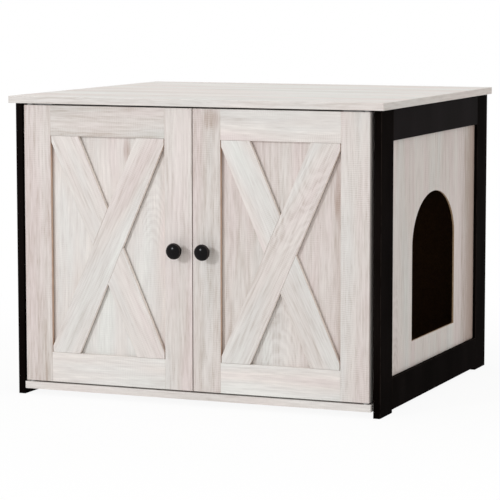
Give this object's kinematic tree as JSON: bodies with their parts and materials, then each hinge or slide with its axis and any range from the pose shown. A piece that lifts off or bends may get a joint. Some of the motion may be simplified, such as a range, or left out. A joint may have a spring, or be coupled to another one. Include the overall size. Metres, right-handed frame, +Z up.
{
  "type": "cat litter box cabinet",
  "caption": "Low cabinet that hides a cat litter tray, with inset crossed-brace doors on pivot hinges at the front and an arched cat doorway in the side.",
  "frame": {"origin": "on the floor under the centre of the whole footprint, knobs included", "axes": "+X to the right as seen from in front of the doors, +Y to the back, +Z up"},
  "size_m": [0.7, 0.6464, 0.533],
  "materials": {
    "whitewashed_oak": "whitewashed oak grain, matt",
    "black_lacquer": "black lacquer, satin",
    "dark_backing": "dark hardboard, matt",
    "beech": "raw beech",
    "die_cast": "raw die-cast zinc",
    "plated_steel": "zinc plated",
    "nylon": "natural nylon",
    "black_knob": "black, satin",
    "brown_plastic": "brown moulded plastic",
    "ferrite": "sintered ferrite"
  },
  "bodies": {
    "cabinet": {"back_panel": "dark_backing", "cabinet_screws": "plated_steel", "catch_housing": "brown_plastic", "catch_magnets": "ferrite", "floor_board": "whitewashed_oak", "floor_cam_bolts": "plated_steel", "floor_cam_locks": "die_cast", "frame_dowels": "beech", "hinge_washers": "nylon", "left_bottom_rail": "black_lacquer", "left_front_stile": "black_lacquer", "left_hinge_pins": "plated_steel", "left_lower_fixed_leaf": "plated_steel", "left_rear_stile": "black_lacquer", "left_side_panel": "whitewashed_oak", "left_top_rail": "black_lacquer", "left_upper_fixed_leaf": "plated_steel", "right_bottom_rail": "black_lacquer", "right_front_stile": "black_lacquer", "right_hinge_pins": "plated_steel", "right_lower_fixed_leaf": "plated_steel", "right_rear_stile": "black_lacquer", "right_side_panel": "whitewashed_oak", "right_top_rail": "black_lacquer", "right_upper_fixed_leaf": "plated_steel", "tabletop": "whitewashed_oak", "top_cam_bolts": "plated_steel", "top_cam_locks": "die_cast"},
    "left_door": {"left_door_board": "whitewashed_oak", "left_door_bottom_strip": "whitewashed_oak", "left_door_hinge_stile": "whitewashed_oak", "left_door_knob": "black_knob", "left_door_knob_screw": "plated_steel", "left_door_long_brace": "whitewashed_oak", "left_door_lower_leaf": "plated_steel", "left_door_lower_short_brace": "whitewashed_oak", "left_door_meeting_stile": "whitewashed_oak", "left_door_screws": "plated_steel", "left_door_strike_plate": "plated_steel", "left_door_top_strip": "whitewashed_oak", "left_door_upper_leaf": "plated_steel", "left_door_upper_short_brace": "whitewashed_oak"},
    "right_door": {"right_door_board": "whitewashed_oak", "right_door_bottom_strip": "whitewashed_oak", "right_door_hinge_stile": "whitewashed_oak", "right_door_knob": "black_knob", "right_door_knob_screw": "plated_steel", "right_door_long_brace": "whitewashed_oak", "right_door_lower_leaf": "plated_steel", "right_door_lower_short_brace": "whitewashed_oak", "right_door_meeting_stile": "whitewashed_oak", "right_door_screws": "plated_steel", "right_door_strike_plate": "plated_steel", "right_door_top_strip": "whitewashed_oak", "right_door_upper_leaf": "plated_steel", "right_door_upper_short_brace": "whitewashed_oak"}
  },
  "joints": [
    {"name": "left_door_hinge", "type": "hinge", "parent": "cabinet", "child": "left_door", "pos_m": [-0.3155, -0.28575, 0.2717], "axis": [0, 0, -1], "range_deg": [0, 110]},
    {"name": "right_door_hinge", "type": "hinge", "parent": "cabinet", "child": "right_door", "pos_m": [0.3155, -0.28575, 0.2717], "axis": [0, 0, 1], "range_deg": [0, 110]}
  ]
}
